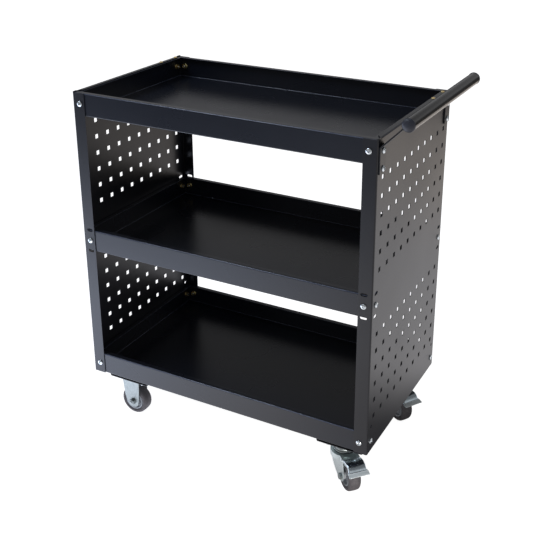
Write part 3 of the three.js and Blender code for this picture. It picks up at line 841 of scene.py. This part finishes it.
def axle_mesh(cheek_inner, nut_length, washer):
    """A hexagon bolt: head on +Y, threaded tip and nut on -Y, with a washer under the nut if asked."""
    flats, bore = 6.5, SHANK_RADIUS + 0.05
    seat = cheek_inner + CHEEK_THICKNESS + 0.3
    nut_seat = -seat - washer
    nut_end = nut_seat - nut_length
    bolt = [
        (0, nut_end - 1.5), (3.4, nut_end - 1.5), (SHANK_RADIUS, nut_end - 0.6), (SHANK_RADIUS, seat),
        (flats, seat), (flats, seat + 4.5), (flats - 0.4, seat + 5.1), (flats - 1.2, seat + 5.3),
        (0, seat + 5.3),
    ]
    nut = [
        (bore, nut_end), (4.7, nut_end), (5.8, nut_end + 0.3), (flats, nut_end + 1.0), (flats, nut_seat),
        (bore, nut_seat),
    ]
    parts = [lathe(bolt, 48, (4, 5)), lathe(nut, 48, (3, 4))]
    if washer:
        parts.append(lathe([
            (4.1, nut_seat + 0.03), (8.2, nut_seat + 0.03), (8.4, nut_seat + 0.3), (8.4, -seat), (4.1, -seat),
        ]))
    return moved(joined(*parts), ALONG_Y)


def plate_spots(centre_x, box):
    """The four fixing points of a mounting plate."""
    reach_x, reach_y = (box.size[i] / 2 - PLATE_HOLE_INSET[i] for i in (0, 1))
    return [(centre_x + x * reach_x, y * reach_y) for x in (-1, 1) for y in (-1, 1)]


def add_plate(name, place, centre_x, box):
    """The mounting plate with rounded corners and four slots. A bolt goes up through each slot: head
    and washer below, shank through the channel."""
    half_x, half_y = box.size.x / 2, box.size.y / 2
    corners = rectangle(centre_x - half_x, -half_y, centre_x + half_x, half_y)
    spots = plate_spots(centre_x, box)
    slots = [slot_outline(x, y, 10, 6.5) for x, y in spots]
    plate = extrude(round_corners(corners, (4,) * 4), PLATE_THICKNESS, slots)
    add_piece(f"{name}_plate", moved(plate, Matrix.Translation((0, 0, PLATE_BOTTOM))), ZINC,
              place=place, bevel=0.35)
    bolt = lathe([
        (0, -4.7), (3.9, -4.7), (4.6, -4.0), (4.6, -1.0), (5.6, -0.9), (5.6, 0), (2.9, 0), (2.9, 8.6),
        (0, 8.6),
    ], 36, (2, 3))
    for index, (x, y) in enumerate(spots):
        add_piece(f"{name}_plate_bolt_{index}", bolt, SCREW_ZINC,
                  place=place @ Matrix.Translation((x, y, PLATE_BOTTOM - 0.05)), sharp=35)


def cheek_pair(outline, inner):
    """The same cheek on both sides of the wheel."""
    bore = circle(0, 0, 4.1)
    outer = inner + CHEEK_THICKNESS
    cheeks = [upright_plate(outline, *span, [bore]) for span in ((-outer, -inner), (inner, outer))]
    return joined(*cheeks)


def fixed_fork():
    """Two tapering cheeks with round tips under the plate."""
    top = PLATE_BOTTOM + 0.2
    return cheek_pair([
        (-27, top), (-23.2, 26), (-22, 15), (-19, 4), *arc(0, 0, 16, 188, 352, 20),
        (17.2, 5), (18, 15), (18.4, 26), (19, top),
    ], FIXED_CHEEK_INNER)


def swivel_fork():
    """A pressed cup about the swivel axis, open towards the tyre, with two broad legs down to the axle."""
    outer = SWIVEL_CHEEK_INNER + CHEEK_THICKNESS
    meet = math.degrees(math.asin(outer / CROWN_RADIUS))
    around = arc(-SWIVEL_TRAIL, 0, CROWN_RADIUS, meet, 360 - meet, 64)
    inside_wall = arc(-SWIVEL_TRAIL, 0, CROWN_RADIUS - CHEEK_THICKNESS, 360 - meet, meet, 64)
    deck = [(CROWN_END, -outer), (CROWN_END, outer), *around]
    eye = circle(-SWIVEL_TRAIL, 0, 6)
    leg = [
        (-51, CROWN_TOP - 1), (-53, 26), (-53, 17), (-51, 11), (-47, 6), (-40, 0.5), (-31, -5), (-22, -9.4),
        (-12, -11.6), *arc(0, 0, 12, 262, 366, 16), (10.5, 12), (8.6, 26), (CROWN_END, CROWN_TOP - 1),
    ]
    deck_plate = extrude(deck, CROWN_TOP - CROWN_BOTTOM, [eye])
    skirt = extrude([*around, *inside_wall], CROWN_SKIRT - 1.2)
    return joined(
        moved(deck_plate, Matrix.Translation((0, 0, CROWN_BOTTOM))),
        moved(skirt, Matrix.Translation((0, 0, CROWN_TOP - CROWN_SKIRT))),
        cheek_pair(leg, SWIVEL_CHEEK_INNER),
    )


def bearing_mesh():
    """The pressed ball race under the plate, with the kingpin's riveted end below the crown."""
    low, high = CROWN_TOP + 0.3, PLATE_BOTTOM + 0.4
    head, neck = CROWN_TOP - 7.8, CROWN_BOTTOM - 0.3
    race = [
        (0, head), (6.4, head), (7.6, head + 0.8), (7.9, head + 2.2), (7.9, neck), (4.9, neck), (4.9, low),
        (21.5, low), (22.6, low + 0.5), (23, low + 1.6), (22.9, low + 3.4), (21.6, low + 4.6),
        (20.6, low + 5.2), (20.4, low + 7.6), (19.0, low + 9.0), (18, high), (0, high),
    ]
    return moved(lathe(race, 96), Matrix.Translation((-SWIVEL_TRAIL, 0, 0)))


def sweep_sheet(line, half_widths, edges):
    """The pedal's sheet along a line in XZ, with its own half width at each point and its two sides
    turned down. edges gives how far those sides reach, from 1 for full to near 0 for flat."""
    bend, skirt, steps = 2.4, 3.0, 8
    rings = []
    for i, (x, z) in enumerate(line):
        before, after = Vector(line[max(i - 1, 0)]), Vector(line[min(i + 1, len(line) - 1)])
        direction = (after - before).normalized()
        radius, reach = bend * edges[i], skirt * edges[i]
        flat = half_widths[i] - radius
        # the section from the middle to one side: across, down, and the skin's normal across and up
        side = []
        for k in range(6):
            over, up = math.sin(math.pi / 2 * k / 5), math.cos(math.pi / 2 * k / 5)
            side.append((flat + radius * over, radius * (1 - up), over, up))
        side += [(flat + radius, radius + reach * f, 1, 0) for f in (0.5, 1)]
        middle = [(flat * (2 * k / steps - 1), 0, 0, 1) for k in range(1, steps)]
        section = [(-y, down, -over, up) for y, down, over, up in reversed(side)] + middle + side

        def layer(thickness):
            for y, down, over, up in section:
                depth = down + thickness * up
                yield x + direction.y * depth, y - thickness * over, z - direction.x * depth

        rings.append([*reversed([*layer(0)]), *layer(PEDAL_SHEET)])
    points, faces = loft(rings)
    across = len(rings[0]) // 2
    last = len(points) - 2 * across
    for k in range(across - 1):
        end = (across - 1 - k, across - 2 - k, across + k + 1, across + k)
        faces += [end, tuple(last + i for i in reversed(end))]
    return points, faces


def pedal_mesh():
    """The brake pedal: a hump with turned-down sides that ends in a wide foot lip, on two arms."""
    arm = SWIVEL_CHEEK_INNER - 0.4
    hump = bezier([(CROWN_END + 1.5, 45.8), (21, 50.6), (38, 53), (41.5, 40), (43.5, 37.2)], 16)
    lip = bezier([(43.5, 37.2), (45.5, 35.6), (49.5, 35.6), (54.5, 33.9)], 8)[1:]
    line = [*hump, *lip]
    half_widths, edges = [], []
    for index in range(len(line)):
        t = min(1, max(0, (index - len(hump) + 4) / 5))
        ease = 3 * t * t - 2 * t**3
        half_widths.append(PEDAL_HALF + (LIP_HALF - PEDAL_HALF) * ease)
        edges.append(max(0.04, 1 - ease))
    side = [
        *arc(0, PEDAL_PIVOT, 4.3, 90, 270, 12), (12, 34.6), (24, 37.5), (37, 41),
        *[(x, z - 0.9) for x, z in reversed(hump[2:-5])], (9.5, 42.2),
    ]
    return joined(
        sweep_sheet(line, half_widths, edges),
        upright_plate(side, -arm, -arm + PEDAL_SHEET),
        upright_plate(side, arm - PEDAL_SHEET, arm),
    )


def pedal_pin():
    """The rivet that the pedal turns on, across both legs of the fork."""
    reach, head, shank = SWIVEL_CHEEK_INNER + CHEEK_THICKNESS + 1.3, 3.1, 1.9
    half = [(0, reach), (2.2, reach), (head, reach - 0.6), (head, reach - 1.25), (shank, reach - 1.3)]
    return moved(lathe(symmetric(half), 32), Matrix.Translation((0, 0, PEDAL_PIVOT)) @ ALONG_Y)


def add_wheel(name, wheel, fork, place, cheek_inner, axle, axle_nodes):
    """Tyre and hub on the wheel's body, and the axle on the body that holds it."""
    add_piece(f"{name}_tread", tyre_mesh(), RUBBER, wheel,
              place=place, stands_for=[f"{name}_tyre"], sharp=60)
    add_piece(f"{name}_rim", hub_mesh(cheek_inner), HUB_PLASTIC, wheel,
              place=place, stands_for=[f"{name}_hub"], sharp=45)
    add_piece(f"{name}_axle", axle, DULL_ZINC, fork,
              place=place, stands_for=[f"{name}_{node}" for node in axle_nodes], sharp=35)


def add_fixed_caster(name, wheel, turn):
    """turn is in degrees about Z: 0 when the axle's nut is on the cart's front side."""
    centre = Box(f"{name}_tyre").centre
    turned = Matrix.Rotation(math.radians(turn), 4, "Z")
    place = Matrix.Translation((centre.x, centre.y, WHEEL_RADIUS)) @ turned
    add_piece(f"{name}_cheeks", fixed_fork(), DULL_ZINC,
              place=place, stands_for=[f"{name}_fork"], bevel=0.35)
    add_plate(name, place, 0, Box(f"{name}_fork"))
    axle = axle_mesh(FIXED_CHEEK_INNER, 6.5, 1.3)
    add_wheel(name, wheel, BODY, place, FIXED_CHEEK_INNER, axle, ("axle_bolt", "axle_nut"))


def add_swivel_caster(name, side):
    """side names the caster in the joints, such as front_right."""
    joints = {joint["name"]: joint for joint in frame["record"]["behaviour"]["joints"]}
    spin = joints[f"wheel_{side}_spin"]
    along_axle = Vector(spin["axis"])
    trailing = Vector((along_axle.y, -along_axle.x, 0))
    place = axes(trailing, along_axle, (0, 0, 1), Vector(spin["pos_m"]) / MM)
    swivel = f"swivel_{side}"
    box = Box(f"{name}_swivel_plate")
    plate_place = Matrix.Translation((box.centre.x + SWIVEL_TRAIL, box.centre.y, WHEEL_RADIUS))

    add_piece(f"{name}_yoke", swivel_fork(), ZINC, swivel,
              place=place, stands_for=[f"{name}_fork"], bevel=0.8, sharp=50)
    add_piece(f"{name}_race", bearing_mesh(), DULL_ZINC,
              place=plate_place, stands_for=[f"{name}_swivel_plate"], sharp=50)
    add_plate(name, plate_place, -SWIVEL_TRAIL, box)
    axle = moved(axle_mesh(SWIVEL_CHEEK_INNER, 5, 0), Matrix.Rotation(math.pi, 4, "Z"))
    add_wheel(name, f"wheel_{side}", swivel, place, SWIVEL_CHEEK_INNER, axle, ("axle_bolt",))
    pedal = add_piece(f"{name}_pedal", pedal_mesh(), CHROME, f"pedal_{side}",
                      place=place, stands_for=[f"{name}_brake_pedal"], bevel=0.3, sharp=50)
    # the foot lip gets the painted reflection material
    pedal.data.materials.append(LIP_PAINTED_REFLECTION)
    to_local = place.inverted()
    for face in pedal.data.polygons:
        spot = to_local @ (face.center / MM)
        if spot.x > LIP_START and spot.z < LIP_TOP:
            face.material_index = 1
    add_piece(f"{name}_pedal_pin", pedal_pin(), ZINC, swivel, place=place, sharp=35)


add_fixed_caster("front_left_caster", "wheel_front_left", 0)
add_fixed_caster("rear_left_caster", "wheel_rear_left", 180)
add_swivel_caster("front_right_caster", "front_right")
add_swivel_caster("rear_right_caster", "rear_right")

# ==============================
# Studio, in metres
# ==============================

CAMERA_PLACE = Vector((0.8974, -1.6357, 1.3018))
CAMERA_AZIMUTH = math.radians(26.87)
CAMERA_ELEVATION = math.radians(20.35)
CAMERA_ROLL = math.radians(0.436)
CAMERA_LENS = 61.34  # on a 36 mm sensor
CAMERA_SHIFT = (-0.0675, -0.1633)

FLOOR_HALF = 9.0
FLOOR_PAPER = 0.8
FLOOR_GLOW = 0.93
# The lit sheet that stands for the floor in light and reflections, measured from the middle of the cart. The
# pocket and the shade are painted shade on the sheet, dim by the right panel's front corner and under the
# cart; they fade with the distance from their own spots, far and side with X, front, behind, edge and warm
# with Y. Levels are the brightness at the two ends of a fade.
POCKET = (0.40, -0.02, 0)
POCKET_FADE = (0.08, 0.40)
POCKET_LEVEL = 0.1
SHADE = (0.18, 0.22, 0)
SHADE_FADE = (0.12, 0.26)
SHADE_LEVEL = 0.25
FRONT_FADE = (-2.02, -0.85)
FAR_FADE = (-1.4, -0.3)
FAR_LEVELS = (0.06, 0.5)
SIDE_FADE = (-0.65, 0.2)
SIDE_LEVELS = (3.3, 0.85)
BEHIND_FADE = (-0.32, 0.05)
BEHIND_LEVEL = 0.95
EDGE_FADE = (2.55, 3.0)
EDGE_LEVELS = (1.0, 0.1)
WARM_FADE = (1.0, 1.9)

WALLS = (0.2, 0.6, 0.46, 0.14)  # the room's brightness by the height of a direction
HORIZON = (0.02, 0.18, 0.2, 1.0)
ROOM_TINT = (0.98, 0.98, 1.0, 1)


def add_camera():
    camera = bpy.data.cameras.new("camera")
    camera.lens = CAMERA_LENS
    camera.sensor_width = 36
    camera.shift_x, camera.shift_y = CAMERA_SHIFT
    camera.clip_start = 0.05
    camera.clip_end = 60
    rig = bpy.data.objects.new("camera", camera)
    bpy.context.scene.collection.objects.link(rig)
    back = Vector((
        math.sin(CAMERA_AZIMUTH) * math.cos(CAMERA_ELEVATION),
        -math.cos(CAMERA_AZIMUTH) * math.cos(CAMERA_ELEVATION),
        math.sin(CAMERA_ELEVATION),
    ))
    right = Vector((0, 0, 1)).cross(back).normalized()
    up = back.cross(right)
    turned_right = math.cos(CAMERA_ROLL) * right + math.sin(CAMERA_ROLL) * up
    turned_up = -math.sin(CAMERA_ROLL) * right + math.cos(CAMERA_ROLL) * up
    rig.matrix_world = axes(turned_right, turned_up, back, CAMERA_PLACE)
    bpy.context.scene.camera = rig


def add_area(name, place, target, size, power, colour, spread=180):
    light = bpy.data.lights.new(name, "AREA")
    light.shape = "RECTANGLE"
    light.size, light.size_y = size
    light.energy = power
    light.color = colour
    light.spread = math.radians(spread)
    lamp = bpy.data.objects.new(name, light)
    bpy.context.scene.collection.objects.link(lamp)
    lamp.matrix_world = facing(Vector(place) - Vector(target), place)
    lamp.visible_camera = False


def product(tree, first, *others):
    for other in others:
        first = add_node(tree, "Math", {0: first, 1: other}, operation="MULTIPLY").outputs["Value"]
    return first


def blend_values(tree, factor, first, second):
    return add_node(tree, "Mix", {"Factor": factor, 2: first, 3: second}).outputs[0]


def colour_range(tree, value, first, last):
    node = add_node(tree, "ValToRGB", {"Fac": value})
    for element, colour in zip(node.color_ramp.elements, (first, last)):
        element.color = (*colour, 1)
    return node.outputs["Color"]


def camera_switch(tree, others, seen):
    """One shader for the camera and another for light and reflections."""
    by_camera = add_node(tree, "LightPath").outputs["Is Camera Ray"]
    return add_node(tree, "MixShader", {"Fac": by_camera, 1: others, 2: seen}).outputs["Shader"]


def floor_sheet(tree):
    """The lit sheet: brightest in front of the cart on the left, fading far in front, even behind and
    to the right. It is dim by the right panel's front corner, under the cart and far behind it."""
    spot = add_node(tree, "TexCoord").outputs["Object"]
    split = add_node(tree, "SeparateXYZ", {"Vector": spot})
    x, y = split.outputs["X"], split.outputs["Y"]

    def dim_around(centre, fade, level):
        distance = add_node(tree, "VectorMath", {0: spot, 1: centre}, operation="DISTANCE").outputs["Value"]
        return value_range(tree, distance, *fade, level, 1.0)

    near = value_range(tree, y, *FRONT_FADE, how="LINEAR")
    far = value_range(tree, x, *FAR_FADE, *FAR_LEVELS, "LINEAR")
    side = value_range(tree, x, *SIDE_FADE, *SIDE_LEVELS, "LINEAR")
    front = blend_values(tree, product(tree, near, near), far, side)
    level = blend_values(tree, value_range(tree, y, *BEHIND_FADE), front, BEHIND_LEVEL)
    # painted shade on the sheet: the pocket by the right panel's front corner and the shade under the cart
    pocket = dim_around(POCKET, POCKET_FADE, POCKET_LEVEL)
    shade = dim_around(SHADE, SHADE_FADE, SHADE_LEVEL)
    edge = value_range(tree, y, *EDGE_FADE, *EDGE_LEVELS)
    level = product(tree, level, pocket, shade, edge)
    cool = colour_range(tree, value_range(tree, x, *SIDE_FADE), (0.76, 0.83, 1.0), (1.0, 0.98, 1.0))
    warm = colour_range(tree, value_range(tree, y, *WARM_FADE), (1.0, 1.0, 1.0), (1.0, 0.93, 0.84))
    tint = add_node(tree, "VectorMath", {0: cool, 1: warm}, operation="MULTIPLY").outputs["Vector"]
    return add_node(tree, "Emission", {"Color": tint, "Strength": level}).outputs["Emission"]


def add_floor():
    """A plain white sweep to the camera, and the lit sheet for light and reflections."""
    mesh = bpy.data.meshes.new("floor")
    corners = rectangle(-FLOOR_HALF, -FLOOR_HALF, FLOOR_HALF, FLOOR_HALF)
    mesh.from_pydata([(x, y, 0) for x, y in corners], [], [(0, 1, 2, 3)])
    floor = bpy.data.objects.new("floor", mesh)
    bpy.context.scene.collection.objects.link(floor)
    material = bpy.data.materials.new("floor_paper")
    material.use_nodes = True
    tree = material.node_tree
    tree.nodes.clear()
    white = (FLOOR_PAPER, FLOOR_PAPER, FLOOR_PAPER, 1)
    paper = add_node(tree, "BsdfDiffuse", {"Color": white}).outputs["BSDF"]
    glow = add_node(tree, "Emission", {"Strength": FLOOR_GLOW}).outputs["Emission"]
    seen = add_node(tree, "AddShader", {0: paper, 1: glow}).outputs["Shader"]
    add_node(tree, "OutputMaterial", {"Surface": camera_switch(tree, floor_sheet(tree), seen)})
    mesh.materials.append(material)


def set_world():
    """White to the camera; for light and reflections a dim room, lightest along its walls."""
    world = bpy.data.worlds.new("studio")
    bpy.context.scene.world = world
    world.use_nodes = True
    tree = world.node_tree
    tree.nodes.clear()
    seen = add_node(tree, "Background", {"Color": (1, 1, 1, 1), "Strength": 1.0}).outputs["Background"]
    way = add_node(tree, "TexCoord").outputs["Generated"]
    height = add_node(tree, "SeparateXYZ", {"Vector": way}).outputs["Z"]
    level = product(tree, value_range(tree, height, *WALLS), value_range(tree, height, *HORIZON))
    lit = add_node(tree, "Background", {"Color": ROOM_TINT, "Strength": level}).outputs["Background"]
    add_node(tree, "OutputWorld", {"Surface": camera_switch(tree, lit, seen)})


add_camera()
add_floor()
set_world()
middle = shell.centre * MM
caster = Box("front_right_caster_tyre").centre * MM
add_area("overhead", (middle.x, middle.y, 2.8), middle, (2.4, 1.4), 6, (0.9, 0.95, 1.0))
add_area("left_high", (middle.x - 1.5, FRONT * MM - 1.1, 3.1), middle, (1.2, 0.9), 26, (0.78, 0.86, 1.0))
add_area("low_side", caster + Vector((0.40, -0.50, 0.03)), caster, (0.16, 0.06), 0.11, (1.0, 0.97, 0.95), 30)
bpy.context.scene.view_settings.view_transform = "Standard"
